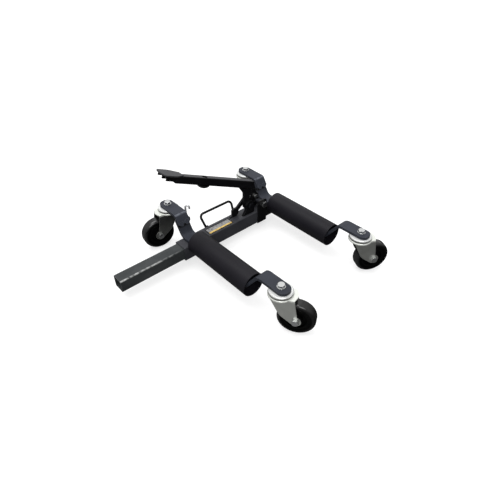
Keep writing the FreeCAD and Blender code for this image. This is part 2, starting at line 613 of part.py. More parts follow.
def drive_pawl():
    """Link from the lever's heel down to a foot block whose tip stands in the beam's slot."""
    pin = V(PIVOT_X + DRIVE_PIN_X, 0, PIVOT_Z + DRIVE_PIN_UP)
    y0 = PAWL_Y - PAWL_T / 2
    y1 = PAWL_Y + PAWL_T / 2
    foot_low = BEAM_TOP + SWING_GAP
    foot = V(DRIVE_FOOT_X, 0, foot_low + DRIVE_FOOT_H / 2)
    along = (foot - pin).normalize()
    across = V(-along.z, 0, along.x) * (DRIVE_W / 2)
    link = [(p.x, p.z, 0) for p in (pin + across, foot + across, foot - across, pin - across)]
    x0 = DRIVE_FOOT_X - DRIVE_FOOT_W / 2
    block = rectangle(x0, x0 + DRIVE_FOOT_W, foot_low, foot_low + DRIVE_FOOT_H, DRIVE_EYE_R)
    tip_x0 = DRIVE_FOOT_X - DRIVE_TIP_W / 2
    tip = box(tip_x0, tip_x0 + DRIVE_TIP_W, y0, y1, PAWL_TIP, foot.z)
    eye = rod(DRIVE_EYE_R, V(pin.x, y0, pin.z), Y, PAWL_T)
    pawl = fuse([plate_xz(link, y0, y1), plate_xz(block, y0, y1), tip, eye])
    NODES["drive_pawl"] = pawl.cut(rod(DRIVE_PIN_R + RUN_FIT, V(pin.x, y0, pin.z), Y, PAWL_T))
    head_y = y1 + SIDE_PLAY
    shank = rod(DRIVE_PIN_R, V(pin.x, HEEL_FRONT, pin.z), Y, head_y - HEEL_FRONT)
    NODES["drive_pin"] = fuse([shank, rod(DRIVE_HEAD_R, V(pin.x, head_y, pin.z), Y, DRIVE_HEAD_T)])
    NODES["drive_spacer"] = ring(DRIVE_HEAD_R, DRIVE_PIN_R + BOLT_PLAY, V(pin.x, HEEL_BACK, pin.z), Y,
                                 y0 - SIDE_PLAY - HEEL_BACK)


def holding_pawl():
    x0 = OUTER_RIGHT - CHEEK_LEN
    top = BEAM_TOP + CHEEK_UP
    cheek = [(x0, BEAM_Z, 0), (OUTER_RIGHT, BEAM_Z, 0), (OUTER_RIGHT, top, HEX_L / 2), (x0, top, HEX_L / 2)]
    hole = rod(PIVOT_R + BOLT_PLAY, V(HOLD_X, -OUTER, HOLD_Z), Y, 2 * OUTER)
    for name, y0 in (("cheek_front", -CHEEK_IN - CHEEK_T), ("cheek_back", CHEEK_IN)):
        NODES[name] = plate_xz(cheek, y0, y0 + CHEEK_T).cut(hole)
    NODES["hold_bolt"] = through_bolt(PIVOT_R, HOLD_X, HOLD_Z, CHEEK_IN + CHEEK_T)

    y0 = PAWL_Y - PAWL_T / 2
    y1 = PAWL_Y + PAWL_T / 2
    tip_x0 = HOLD_X - HOLD_REACH
    nose = [(HOLD_X, HOLD_Z + HOLD_EYE_R, 0), (HOLD_X, HOLD_Z - HOLD_EYE_R, 0),
            (tip_x0 + HOLD_TIP_W, BEAM_TOP + SWING_GAP, 0), (tip_x0 + HOLD_TIP_W, PAWL_TIP, 0),
            (tip_x0, PAWL_TIP, 0), (tip_x0, HOLD_Z - HOLD_EYE_R / 2, SWING_GAP)]
    eye = rod(HOLD_EYE_R, V(HOLD_X, y0, HOLD_Z), Y, PAWL_T)
    tab_w = HOLD_EYE_R / 2
    tab = plate_xz(rectangle(HOLD_X - tab_w, HOLD_X + tab_w, HOLD_Z, HOLD_Z + HOLD_TAB, SWING_GAP), y0, y1)
    pawl = fuse([plate_xz(nose, y0, y1), eye, tab])
    NODES["hold_pawl"] = pawl.cut(rod(PIVOT_R + RUN_FIT, V(HOLD_X, y0, HOLD_Z), Y, PAWL_T))
    spacers = []
    bore = PIVOT_R + BOLT_PLAY
    for start, end in ((-CHEEK_IN, y0 - SIDE_PLAY), (y1 + SIDE_PLAY, CHEEK_IN)):
        spacers.append(ring(PIVOT_R + SPACER_WALL, bore, V(HOLD_X, start, HOLD_Z), Y, end - start))
    NODES["hold_spacers"] = Part.makeCompound(spacers)


def bent_rod(points, bends, radius):
    """Round rod along straight runs that join in tangent arcs."""
    edges = []
    start = points[0]
    for i in range(1, len(points) - 1):
        back = (points[i - 1] - points[i]).normalize()
        ahead = (points[i + 1] - points[i]).normalize()
        half = back.getAngle(ahead) / 2
        run = bends[i - 1] / math.tan(half)
        middle = points[i] + (back + ahead).normalize() * (bends[i - 1] / math.sin(half) - bends[i - 1])
        edges.append(Part.makeLine(start, points[i] + back * run))
        edges.append(Part.Arc(points[i] + back * run, middle, points[i] + ahead * run).toShape())
        start = points[i] + ahead * run
    edges.append(Part.makeLine(start, points[-1]))
    circle = Part.Wire(Part.makeCircle(radius, points[0], points[1] - points[0]))
    return Part.Wire(edges).makePipeShell([circle], True, False)


def carry_handle():
    """Bent rod whose feet stand on the beam's back face; the legs rise outwards to the grip."""
    back = OUTER / 2
    grip = V(0, back + HANDLE_OUT, BEAM_TOP + HANDLE_UP)
    foot = V(0, back, BEAM_TOP - HANDLE_FOOT_DOWN)
    sunk = foot + (foot - grip) * (OUTER_WALL / HANDLE_OUT * 2)
    left = HANDLE_X - HANDLE_W / 2
    right = HANDLE_X + HANDLE_W / 2
    points = [sunk + X * (left + HANDLE_SPLAY), grip + X * left,
              grip + X * right, sunk + X * (right - HANDLE_SPLAY)]
    handle = bent_rod(points, [HANDLE_BEND, HANDLE_BEND], ROD_R)
    NODES["carry_handle"] = handle.cut(box(left - OUTER, right + OUTER, -OUTER, back, 0, 2 * BAR_HIGH))


def lock_pin():
    """Hooked pin standing in a lug on the edge of the near rear bracket."""
    edge = NEAR_X + BAR_W / 2
    slope_r = math.tan(math.radians(REAR_SLOPE))
    lug_y = OUTER / 2 + REAR_FOOT + (BAR_T / 2 + LUG_UP) / slope_r
    y = lug_y + LUG_D - LUG_W / 2
    z0 = BAR_TOP + LUG_UP
    pin_x = edge + LUG_W / 2
    lug = box(edge, edge + LUG_W, lug_y + LUG_SET, lug_y + LUG_D, z0, z0 + LUG_H)
    NODES["pin_lug"] = lug.cut(rod(PIN_R + RUN_FIT, V(pin_x, y, z0), Z, LUG_H))
    top = z0 + LUG_H + PIN_UP
    over = V(2 * PIN_HOOK_R * math.cos(math.pi / 4), -2 * PIN_HOOK_R * math.sin(math.pi / 4), 0)
    shank_top = V(pin_x, y, top)
    crest = shank_top + over * 0.5 + Z * PIN_HOOK_R
    path = Part.Wire([Part.makeLine(V(pin_x, y, z0), shank_top),
                      Part.Arc(shank_top, crest, shank_top + over).toShape(),
                      Part.makeLine(shank_top + over, shank_top + over - Z * PIN_HOOK_DROP)])
    circle = Part.Wire(Part.makeCircle(PIN_R, V(pin_x, y, z0), Z))
    hook = path.makePipeShell([circle], True, False)
    collar = rod(PIN_COLLAR_R, V(pin_x, y, z0 + LUG_H + SIDE_PLAY), Z, PIN_COLLAR_H)
    NODES["lock_pin"] = fuse([hook, collar])


beam()
arm("near", NEAR_X)
arm("far", FAR_X)
far_seat()
for caster_name, king_x, king_y in (("nf", NEAR_X, FRONT_KING), ("ff", FAR_X, FRONT_KING),
                                    ("nr", NEAR_X, REAR_KING), ("fr", FAR_X, REAR_KING)):
    caster(caster_name, king_x, king_y)
pedal()
pedal_mount()
drive_pawl()
holding_pawl()
carry_handle()
lock_pin()

# The origin is the middle of the footprint, on the floor
BOUNDS = Part.makeCompound(list(NODES.values())).optimalBoundingBox(False, False)
SHIFT = V(-(BOUNDS.XMin + BOUNDS.XMax) / 2, -(BOUNDS.YMin + BOUNDS.YMax) / 2, -BOUNDS.ZMin)
os.makedirs("parts", exist_ok=True)
for node, shape in NODES.items():
    shape.translate(SHIFT)
    shape.exportStep(os.path.join("parts", node + ".step"))
print(len(NODES), "nodes", BOUNDS)
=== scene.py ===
import json
import math

import bpy
from mathutils import Matrix, Vector


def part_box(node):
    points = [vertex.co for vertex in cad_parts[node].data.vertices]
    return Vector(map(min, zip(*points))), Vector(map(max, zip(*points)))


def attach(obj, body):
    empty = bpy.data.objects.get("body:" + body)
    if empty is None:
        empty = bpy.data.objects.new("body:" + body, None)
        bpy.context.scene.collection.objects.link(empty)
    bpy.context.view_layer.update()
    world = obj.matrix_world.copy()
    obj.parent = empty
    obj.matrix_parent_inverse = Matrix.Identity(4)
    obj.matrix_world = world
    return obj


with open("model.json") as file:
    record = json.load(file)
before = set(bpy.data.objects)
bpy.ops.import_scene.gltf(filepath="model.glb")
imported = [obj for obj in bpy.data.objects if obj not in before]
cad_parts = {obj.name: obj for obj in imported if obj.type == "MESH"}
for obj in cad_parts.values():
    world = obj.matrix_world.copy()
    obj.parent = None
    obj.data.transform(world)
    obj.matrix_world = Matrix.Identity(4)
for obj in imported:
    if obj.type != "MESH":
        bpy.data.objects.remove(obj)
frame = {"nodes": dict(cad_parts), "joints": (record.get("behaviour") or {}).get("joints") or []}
nodes = frame["nodes"]
joints = {joint["name"]: joint for joint in frame["joints"]}
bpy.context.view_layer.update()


# The beam is two square steel tubes, one sliding in the other, each with its own powder coat.
# The inner tube's grey-green coat is blotchy and rubbed bright along its upper front edge.
class Value:
    """One output in a node tree; sums and products of values add Math nodes to that tree."""

    def __init__(self, tree, socket):
        self.tree = tree
        self.socket = socket

    def node(self, kind, settings, inputs, output=0):
        """Adds a node with its settings, fills its sockets with numbers or values, and gives one output."""
        node = self.tree.nodes.new("ShaderNode" + kind)
        for name, setting in settings.items():
            setattr(node, name, setting)
        for name, content in inputs.items():
            if isinstance(content, Value):
                self.tree.links.new(content.socket, node.inputs[name])
            else:
                node.inputs[name].default_value = content
        return Value(self.tree, node.outputs[output])

    def math(self, operation, first, second=0.0):
        return self.node("Math", {"operation": operation}, {0: first, 1: second})

    def __add__(self, other):
        return self.math("ADD", self, other)

    def __radd__(self, other):
        return self.math("ADD", other, self)

    def __sub__(self, other):
        return self.math("SUBTRACT", self, other)

    def __rsub__(self, other):
        return self.math("SUBTRACT", other, self)

    def __mul__(self, other):
        return self.math("MULTIPLY", self, other)

    def __abs__(self):
        return self.math("ABSOLUTE", self)

    def ramp(self, low, high):
        """Goes from 0 at low to 1 at high, and stays there."""
        return self.node("MapRange", {"clamp": True}, {"Value": self, "From Min": low, "From Max": high})

    def noise(self, scale, detail=3):
        """Cloudy noise from 0 to 1 over this vector."""
        return self.node("TexNoise", {}, {"Vector": self, "Scale": scale, "Detail": detail})

    def axis(self, letter):
        return self.node("SeparateXYZ", {}, {0: self}, letter)

    def mix(self, colour_a, colour_b):
        """Goes from colour_a to colour_b as this value goes from 0 to 1."""
        both = [colour if isinstance(colour, Value) else (*colour, 1) for colour in (colour_a, colour_b)]
        return self.node("Mix", {"data_type": "RGBA"}, {"Factor": self, 6: both[0], 7: both[1]}, 2)


def new_finish(name):
    """An empty material, its shader node and its Object coordinates as a value."""
    material = bpy.data.materials.new(name)
    material.use_nodes = True
    tree = material.node_tree
    coords = tree.nodes.new("ShaderNodeTexCoord")
    return material, tree.nodes["Principled BSDF"], Value(tree, coords.outputs["Object"])


def feed(shader, name, value):
    value.tree.links.new(value.socket, shader.inputs[name])


def edge_mask(place, reach):
    """1 on sharp edges and 0 on flats, within reach of the edge."""
    rounded = place.node("Bevel", {"samples": 6}, {"Radius": reach})
    straight = place.node("NewGeometry", {}, {}, "Normal")
    agree = place.node("VectorMath", {"operation": "DOT_PRODUCT"}, {0: rounded, 1: straight}, "Value")
    return agree.ramp(0.985, 0.8)


def surface(shader, place, height, depth, edge_radius):
    """Fine relief over edges that look rounded by edge_radius."""
    rounded = place.node("Bevel", {"samples": 4}, {"Radius": edge_radius})
    relief = {"Height": height, "Strength": 0.3, "Distance": depth, "Normal": rounded}
    feed(shader, "Normal", place.node("Bump", {}, relief))


# Colour of painted shade.
PAINTED_SHADE = (0.004, 0.004, 0.004)


def powder_coat(name, colour, dust, worn_and_lit_colour, roughness, gloss, rub_and_highlight=None, painted_shade=None):
    """Baked powder coat with orange peel and a veil of dust in patches, worn thin on its edges.

    Where rub_and_highlight says, it turns paler, from wear and from painted highlights; where painted_shade
    says, painted shade darkens it.
    """
    material, shader, place = new_finish(name)
    cloud = place.noise(16, 4).ramp(0.36, 0.7)
    speckle = place.noise(420, 2)
    edges = edge_mask(place, 0.0014) * place.noise(160, 3).ramp(0.38, 0.62) * 0.6
    base = (cloud * 0.8 + speckle * 0.25).mix(colour, dust)
    # Paler marks from wear and from painted highlights join the edges here.
    if rub_and_highlight:
        edges = edges.math("MAXIMUM", edges, rub_and_highlight(place))
    # Painted shade darkens the base colour here.
    if painted_shade:
        base = painted_shade(place).mix(base, PAINTED_SHADE)
    feed(shader, "Base Color", edges.mix(base, worn_and_lit_colour))
    feed(shader, "Roughness", roughness - 0.06 + cloud * 0.1 + speckle * 0.06)
    surface(shader, place, place.noise(900, 2), 0.0001, 0.0009)
    shader.inputs["Specular IOR Level"].default_value = gloss
    return material


def dress(material, *names):
    """Gives CAD nodes one finish."""
    for name in names:
        mesh = nodes[name].data
        mesh.materials.clear()
        mesh.materials.append(material)


beam_low, beam_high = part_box("outer_tube")
INNER_LOW, INNER_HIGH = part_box("inner_tube")
RUB_LENGTH = 0.2
RUB_FULL = 0.08
RUB_WIDTH = 0.0042
RUB_CORE = 0.0024


def tube_rub(place):
    """Bright line along the inner tube's upper front edge, broken and fading towards the outer tube."""
    from_front = abs(place.axis("Y") - INNER_LOW.y)
    from_top = abs(place.axis("Z") - INNER_HIGH.z)
    corner = place.math("MAXIMUM", from_front, from_top).ramp(RUB_WIDTH, RUB_CORE)
    broken = place.noise(75, 4).ramp(0.34, 0.56)
    reach = place.axis("X").ramp(INNER_LOW.x + RUB_LENGTH, INNER_LOW.x + RUB_FULL)
    return corner * broken * reach * 0.8


SHADE_FROM = 0.01
SHADE_FULL = 0.04


def tube_inside_shade(place):
    """Painted shade on the length that slides in the outer tube."""
    return place.axis("X").ramp(beam_low.x + SHADE_FROM, beam_low.x + SHADE_FULL) * 0.9


beam_coat = powder_coat("beam_coat", (0.036, 0.037, 0.044), (0.056, 0.057, 0.064), (0.12, 0.12, 0.13),
                        0.42, 0.25)
grey_coat = powder_coat("grey_green_coat", (0.028, 0.032, 0.034), (0.062, 0.067, 0.069), (0.6, 0.61, 0.6),
                        0.5, 0.25, tube_rub, tube_inside_shade)
dress(beam_coat, "outer_tube")
dress(grey_coat, "inner_tube")

# A bare plate with a plain coloured stripe is glued to the top of the beam. Its top face has a dark border,
# and the face inside that is cut in two, a grey panel and the stripe.
LABEL_FROM = 0.0975
LABEL_LENGTH = 0.093
LABEL_WIDTH = 0.027
LABEL_BACK = 0.010
LABEL_THICK = 0.0005
LABEL_BORDER = 0.0014
LABEL_STRIPE = 0.0085
LABEL_CORNER = 0.002
BEAM_MIDDLE = (beam_low.y + beam_high.y) / 2
BEAM_TOP = beam_high.z


def fit(piece, name, material, body):
    """Names a finished piece, gives it its finish and lets it ride on a body."""
    piece.name = name
    piece.data.name = name
    if material:
        piece.data.materials.append(material)
    bpy.ops.object.select_all(action="DESELECT")
    bpy.context.view_layer.objects.active = piece
    piece.select_set(True)
    bpy.ops.object.transform_apply(location=True, rotation=True, scale=True)
    bpy.ops.object.shade_smooth_by_angle(angle=math.radians(38))
    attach(piece, body)


label_x = beam_low.x + LABEL_FROM + LABEL_LENGTH / 2
label_y = BEAM_MIDDLE + LABEL_BACK - LABEL_WIDTH / 2
stripe_back = label_y - LABEL_WIDTH / 2 + LABEL_STRIPE
bpy.ops.object.select_all(action="DESELECT")
bpy.ops.mesh.primitive_cube_add(size=1, location=(label_x, label_y, BEAM_TOP + LABEL_THICK / 2))
label = bpy.context.object
label.scale = (LABEL_LENGTH, LABEL_WIDTH, LABEL_THICK)
bpy.ops.object.transform_apply(location=True, rotation=True, scale=True)
bpy.ops.object.mode_set(mode="EDIT")
bpy.ops.mesh.select_all(action="DESELECT")
bpy.ops.object.mode_set(mode="OBJECT")
for edge in label.data.edges:
    ends = [label.data.vertices[i].co for i in edge.vertices]
    edge.select = abs(ends[0].z - ends[1].z) > LABEL_THICK / 2
bpy.ops.object.mode_set(mode="EDIT")
bpy.ops.mesh.select_mode(type="EDGE")
bpy.ops.mesh.bevel(offset=LABEL_CORNER, segments=4)
bpy.ops.mesh.select_mode(type="FACE")
bpy.ops.mesh.select_all(action="DESELECT")
bpy.ops.object.mode_set(mode="OBJECT")
for face in label.data.polygons:
    face.select = face.normal.z > 0.9
bpy.ops.object.mode_set(mode="EDIT")
bpy.ops.mesh.inset(thickness=LABEL_BORDER)
bpy.ops.mesh.bisect(plane_co=(label_x, stripe_back, BEAM_TOP), plane_no=(0, 1, 0))
bpy.ops.object.mode_set(mode="OBJECT")


def label_print(name, colour, smudge):
    """Satin printed foil, a little dirty."""
    material, shader, place = new_finish(name)
    dirt = place.noise(190, 4).ramp(0.42, 0.7)
    feed(shader, "Base Color", dirt.mix(colour, smudge))
    feed(shader, "Roughness", 0.4 + dirt * 0.2)
    return material


for foil in (label_print("label_border", (0.012, 0.012, 0.014), (0.03, 0.03, 0.032)),
             label_print("label_panel", (0.33, 0.33, 0.33), (0.09, 0.088, 0.085)),
             label_print("label_stripe", (0.78, 0.55, 0.16), (0.36, 0.22, 0.06))):
    label.data.materials.append(foil)
for face in label.data.polygons:
    inside = abs(face.center.x - label_x) < LABEL_LENGTH / 4 and face.normal.z > 0.9
    if inside and abs(face.center.y - label_y) < LABEL_WIDTH / 2 - LABEL_BORDER:
        face.material_index = 2 if face.center.y < stripe_back else 1
fit(label, "beam_label", None, "base")

# The arms are flat bars bent up at both ends, with a lapped bracket at the rear, in a blue-grey coat.
# The near bar is welded across the beam, the far bar to a seat on the inner tube.
BEND_AHEAD = 0.067
BEND_HEIGHT = 0.1364
BEND_WIDTH = 0.003
BEND_CORE = 0.0012


def bend_highlight(place):
    """Pale line on each rear bracket, a painted highlight along the bend, broken in places."""
    ahead = abs(joints["caster_nr_turn"]["pos_m"][1] - BEND_AHEAD - place.axis("Y"))
    above = abs(place.axis("Z") - BEND_HEIGHT)
    line = place.math("MAXIMUM", ahead * 0.8, above).ramp(BEND_WIDTH, BEND_CORE)
    return line * place.noise(90, 3).ramp(0.3, 0.6) * 0.8


LAP_SEAM = 0.009
LAP_STEP = 0.0067
LAP_FADE = 0.0008
LAP_NEAR = 0.008
bracket_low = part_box("near_rear_bracket")[0]


def lap_shadow(place):
    """Painted shadow on the bar in the corner under the lower end of its bracket."""
    below = place.axis("Z").ramp(bracket_low.z - LAP_SEAM, bracket_low.z - LAP_SEAM / 2)
    above = place.axis("Z").ramp(bracket_low.z + LAP_FADE, bracket_low.z)
    near = abs(place.axis("Y") - bracket_low.y - LAP_STEP).ramp(LAP_NEAR + 0.001, LAP_NEAR)
    return below * above * near


# The rear brackets carry a painted highlight on their bend and a painted shadow under their lapped end.
arm_coat = powder_coat("blue_grey_coat", (0.026, 0.029, 0.039), (0.04, 0.044, 0.057), (0.16, 0.17, 0.2),
                       0.46, 0.15, bend_highlight, lap_shadow)
dress(arm_coat, "near_arm_bar", "far_arm_bar", "near_rear_bracket", "far_rear_bracket", "far_seat",
      "pin_lug", "near_lap_bolts", "far_lap_bolts")
WELD_SIDES = 10
WELD_WAIST = 0.8
WELD_PITCH = 0.0019
WELD_RADIUS = 0.0024


def ribbed_rod(start, end, radius, waist, pitch, sides):
    """Closed round rod from start to end with a rib at every pitch.

    Between the ribs it narrows to waist times radius.
    """
    start = Vector(start)
    run = Vector(end) - start
    count = max(2, round(run.length / pitch))
    step = run.length / count
    bpy.ops.object.select_all(action="DESELECT")
    bpy.ops.mesh.primitive_circle_add(vertices=sides, radius=radius * waist)
    rod = bpy.context.object
    bpy.ops.object.mode_set(mode="EDIT")
    bpy.ops.mesh.select_all(action="SELECT")
    for widen in (1 / waist, waist):
        bpy.ops.mesh.extrude_region_move(TRANSFORM_OT_translate={"value": (0, 0, step / 2)})
        bpy.ops.transform.resize(value=(widen, widen, 1), center_override=(0, 0, 0))
    bpy.ops.object.mode_set(mode="OBJECT")
    ribs = rod.modifiers.new("ribs", "ARRAY")
    ribs.count = count
    ribs.use_relative_offset = False
    ribs.use_constant_offset = True
    ribs.constant_offset_displace = (0, 0, step)
    ribs.use_merge_vertices = True
    ribs.merge_threshold = step / 100
    bpy.ops.object.modifier_apply(modifier="ribs")
    bpy.ops.object.mode_set(mode="EDIT")
    bpy.ops.mesh.select_all(action="SELECT")
    bpy.ops.mesh.fill_holes(sides=0)
    bpy.ops.mesh.select_all(action="SELECT")
    bpy.ops.mesh.normals_make_consistent(inside=False)
    bpy.ops.object.mode_set(mode="OBJECT")
    rod.data.transform(Matrix.Translation(start) @ run.to_track_quat("Z", "Y").to_matrix().to_4x4())
    return rod


def weld(name, start, end, material, slot, body, radius=WELD_RADIUS):
    """Rippled fillet weld laid in a corner from start to end, under the coat of what it joins."""
    bead = ribbed_rod(start, end, radius, WELD_WAIST, WELD_PITCH, WELD_SIDES)
    fit(bead, name, material, body)


WELD_INSET = 0.005
for arm, tube, body in (("near", "outer_tube", "base"), ("far", "inner_tube", "slider")):
    seat_low, seat_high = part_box(tube)
    bar_low, bar_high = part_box(arm + "_arm_bar")
    for side, x in (("left", bar_low.x), ("right", bar_high.x)):
        ends = [Vector((x, y, seat_high.z)) for y in (seat_low.y + WELD_INSET, seat_high.y - WELD_INSET)]
        weld(f"{arm}_bar_weld_{side}", *ends, arm_coat, "arm_paint", body)

# The rollers are steel tube with a smooth satin coat, almost black.
# They turn on nylon bushings that sit on the bars.
roller_coat = powder_coat("roller_coat", (0.006, 0.0054, 0.0085), (0.0095, 0.0088, 0.0125),
                          (0.05, 0.05, 0.06), 0.5, 0.2)
dress(roller_coat, "near_roller", "far_roller")


def moulded(name, colour, roughness, grain, gloss):
    """Moulded rubber or plastic: even colour, faint mottling, fine grain."""
    material, shader, place = new_finish(name)
    cloud = place.noise(45, 3)
    feed(shader, "Base Color", cloud.mix([0.7 * c for c in colour], [1.3 * c for c in colour]))
    feed(shader, "Roughness", roughness + place.noise(130, 3) * 0.14)
    surface(shader, place, place.noise(grain, 2), 0.0002, 0.0006)
    shader.inputs["Specular IOR Level"].default_value = gloss
    return material


nylon = moulded("black_nylon", (0.02, 0.02, 0.02), 0.45, 700, 0.3)
dress(nylon, "near_bushings", "far_bushings")


# The casters have pressed zinc-plated forks and races, solid rubber tyres on plastic hubs, and bolt axles.
# The dish and the race are dull white, with old grease and painted shade in the groove between them.
# The legs are plain metal, and a painted dark reflection lies on those of the rear casters.
# Colour of old grease, used also for painted shade and a painted dark reflection.
GREASE_AND_SHADE = (0.01, 0.009, 0.008)


def zinc_plate(name, colour, roughness, white=None, grease_and_shade=None):
    """Zinc plating with faint clouds and fine rolling lines.

    White gives where it is dull white, and grease_and_shade where old grease, painted shade and painted dark
    reflections lie on it.
    """
    material, shader, place = new_finish(name)
    cloud = place.noise(60, 3)
    fine = place.noise(700, 2)
    base = cloud.mix([0.84 * c for c in colour], colour)
    if grease_and_shade:
        base = grease_and_shade(place).mix(base, GREASE_AND_SHADE)
    feed(shader, "Base Color", base)
    feed(shader, "Roughness", roughness + cloud * 0.12 + fine * 0.05)
    if white:
        feed(shader, "Metallic", 1 - white(place))
    else:
        shader.inputs["Metallic"].default_value = 1.0
    surface(shader, place, fine, 0.0001, 0.0006)
    return material


FORK_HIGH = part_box("caster_nf_fork")[1].z
GROOVE_FLOOR = FORK_HIGH - 0.0026
GROOVE_FADE = 0.0001
CROWN_FOOT = FORK_HIGH - 0.009
CROWN_FADE = 0.001
CROWN_WHITE = 0.6
LEG_REFLECTION_DEPTH = 0.62


def white_crown(place):
    """The dish and the race are dull white, the legs below are plain metal."""
    return place.axis("Z").ramp(CROWN_FOOT - CROWN_FADE, CROWN_FOOT + CROWN_FADE) * CROWN_WHITE


def groove_grease_and_leg_reflection(place):
    """Old grease and painted shade in the ball groove, and a painted dark reflection on the rear casters'
    legs.
    """
    groove = place.axis("Z").ramp(GROOVE_FLOOR - GROOVE_FADE, GROOVE_FLOOR + GROOVE_FADE)
    legs = place.axis("Z").ramp(CROWN_FOOT + CROWN_FADE, CROWN_FOOT - CROWN_FADE)
    rear = place.axis("Y").ramp(0, 0.05)
    # Painted dark reflection on the flats of the rear casters' legs.
    leg_reflection = legs * rear * (1 - edge_mask(place, 0.002)) * LEG_REFLECTION_DEPTH
    return groove.math("MAXIMUM", groove, leg_reflection)


fork_zinc = zinc_plate("fork_zinc", (0.84, 0.86, 0.81), 0.24, white_crown, groove_grease_and_leg_reflection)
zinc = zinc_plate("zinc_plate", (0.88, 0.89, 0.88), 0.26, white_crown)
bright_zinc = zinc_plate("zinc_bolts", (0.66, 0.67, 0.67), 0.16)
rubber = moulded("buffer_rubber", (0.0015, 0.0015, 0.0015), 0.3, 600, 0.3)
hub_plastic = moulded("hub_plastic", (0.0022, 0.0022, 0.0022), 0.4, 900, 0.06)
THREAD_PITCH = 0.0015
THREAD_ROOT = 0.88
THREAD_SIDES = 20
AXLE_RADIUS = 0.005
AXLE_PROUD = 0.003


def bolt_end(name, nut_face, direction, radius, length, body):
    """Threaded end of a bolt where it stands out of its nut."""
    inside = Vector(nut_face) - Vector(direction) * THREAD_PITCH
    tip = Vector(nut_face) + Vector(direction) * length
    thread = ribbed_rod(inside, tip, radius, THREAD_ROOT, THREAD_PITCH, THREAD_SIDES)
    fit(thread, name, bright_zinc, body)


SHOULDER_FROM = 0.039
SHOULDER_FULL = 0.044
TREAD_GREY_FROM = 0.0455
TREAD_GREY_FULL = 0.0485


def tyre_rubber(corner):
    """Black rubber, glossy on the shoulders and greyer on the tread, by the distance from the axle."""
    material, shader, place = new_finish(f"tyre_rubber_{corner}")
    roll = joints[f"caster_{corner}_roll"]
    out = place.node("VectorMath", {"operation": "SUBTRACT"}, {0: place, 1: roll["pos_m"]})
    aside = place.node("VectorMath", {"operation": "DOT_PRODUCT"}, {0: out, 1: roll["axis"]}, "Value")
    reach = place.node("VectorMath", {"operation": "LENGTH"}, {0: out}, "Value")
    radius = place.math("SQRT", reach * reach - aside * aside)
    tread_grey = radius.ramp(TREAD_GREY_FROM, TREAD_GREY_FULL) * place.noise(90, 4).ramp(0.2, 0.65)
    feed(shader, "Base Color", tread_grey.mix((0.0012, 0.0012, 0.0012), (0.011, 0.011, 0.011)))
    feed(shader, "Roughness", 0.24 + tread_grey * 0.2)
    feed(shader, "Coat Weight", radius.ramp(SHOULDER_FROM, SHOULDER_FULL))
    shader.inputs["Coat Roughness"].default_value = 0.18
    shader.inputs["Specular IOR Level"].default_value = 0.05
    surface(shader, place, place.noise(600, 2), 0.0001, 0.0006)
    return material


for corner in ("nf", "ff", "nr", "fr"):
    dress(fork_zinc, f"caster_{corner}_fork")
    dress(bright_zinc, f"caster_{corner}_axle")
    dress(tyre_rubber(corner), f"caster_{corner}_tyre")
    dress(hub_plastic, f"caster_{corner}_hub")
    axle = joints[f"caster_{corner}_roll"]
    along = Vector(axle["axis"])
    centre = Vector(axle["pos_m"])
    axle_mesh = nodes[f"caster_{corner}_axle"].data
    nut_reach = max((vertex.co - centre).dot(along) for vertex in axle_mesh.vertices)
    bolt_end(f"caster_{corner}_axle_end", centre + along * nut_reach, along, AXLE_RADIUS, AXLE_PROUD,
             f"caster_{corner}_swivel")
dress(zinc, "near_races", "far_races")
dress(bright_zinc, "near_king_bolts", "far_king_bolts")

# The pedal is a tapered square lever on a cranked heel plate, with a flat tread plate on two ribs at its end
# and a rubber buffer below. It turns on a bolt in one ear, which is welded to the beam.
BLACK = ((0.002, 0.002, 0.0026), (0.004, 0.004, 0.005))
pad_coat = powder_coat("tread_coat", (0.034, 0.034, 0.039), (0.058, 0.058, 0.064), (0.12, 0.12, 0.125),
                       0.45, 0.4)
lever_coat = powder_coat("lever_coat", *BLACK, (0.04, 0.04, 0.045), 0.36, 0.3)
LEVER_TILT = math.radians(23.9)
lever_up = Vector((math.sin(LEVER_TILT), 0, math.cos(LEVER_TILT)))


def lever_top_sheen(place):
    """Painted grey sheen on the top face of the lever."""
    facing = {0: place.node("TexCoord", {}, {}, "Normal"), 1: lever_up}
    return place.node("VectorMath", {"operation": "DOT_PRODUCT"}, facing, "Value").ramp(0.9, 0.98)


tube_coat = powder_coat("lever_tube_coat", *BLACK, (0.05, 0.05, 0.055), 0.36, 0.3, lever_top_sheen)
dress(pad_coat, "pedal_pad")
dress(tube_coat, "pedal_tube")
dress(lever_coat, "pedal_ribs", "pedal_heel", "pedal_ear")
dress(rubber, "pedal_bumper")
dark_steel = zinc_plate("black_oxide", (0.04, 0.042, 0.05), 0.35)
dress(dark_steel, "pivot_bolt")
dress(bright_zinc, "bumper_screw", "heel_bolt", "drive_pin", "drive_spacer")
ear_low, ear_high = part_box("pedal_ear")
for side, y in (("front", ear_low.y), ("back", ear_high.y)):
    ends = [Vector((x, y, ear_low.z)) for x in (ear_low.x + WELD_INSET, ear_high.x - WELD_INSET)]
    weld(f"ear_weld_{side}", *ends, lever_coat, "black_paint", "base")
LEVER_LIFT = 0.055
HEEL_WELD = (0.021, 0.064)
pivot = Vector(joints["pedal_press"]["pos_m"])
lever_along = Vector((-math.cos(LEVER_TILT), 0, math.sin(LEVER_TILT)))
heel_low, heel_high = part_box("pedal_heel")
for side, y in (("front", heel_low.y), ("back", heel_high.y)):
    line = [pivot + lever_along * reach + lever_up * LEVER_LIFT for reach in HEEL_WELD]
    ends = [Vector((end.x, y, end.z)) for end in line]
    weld(f"heel_weld_{side}", *ends, lever_coat, "black_paint", "pedal")

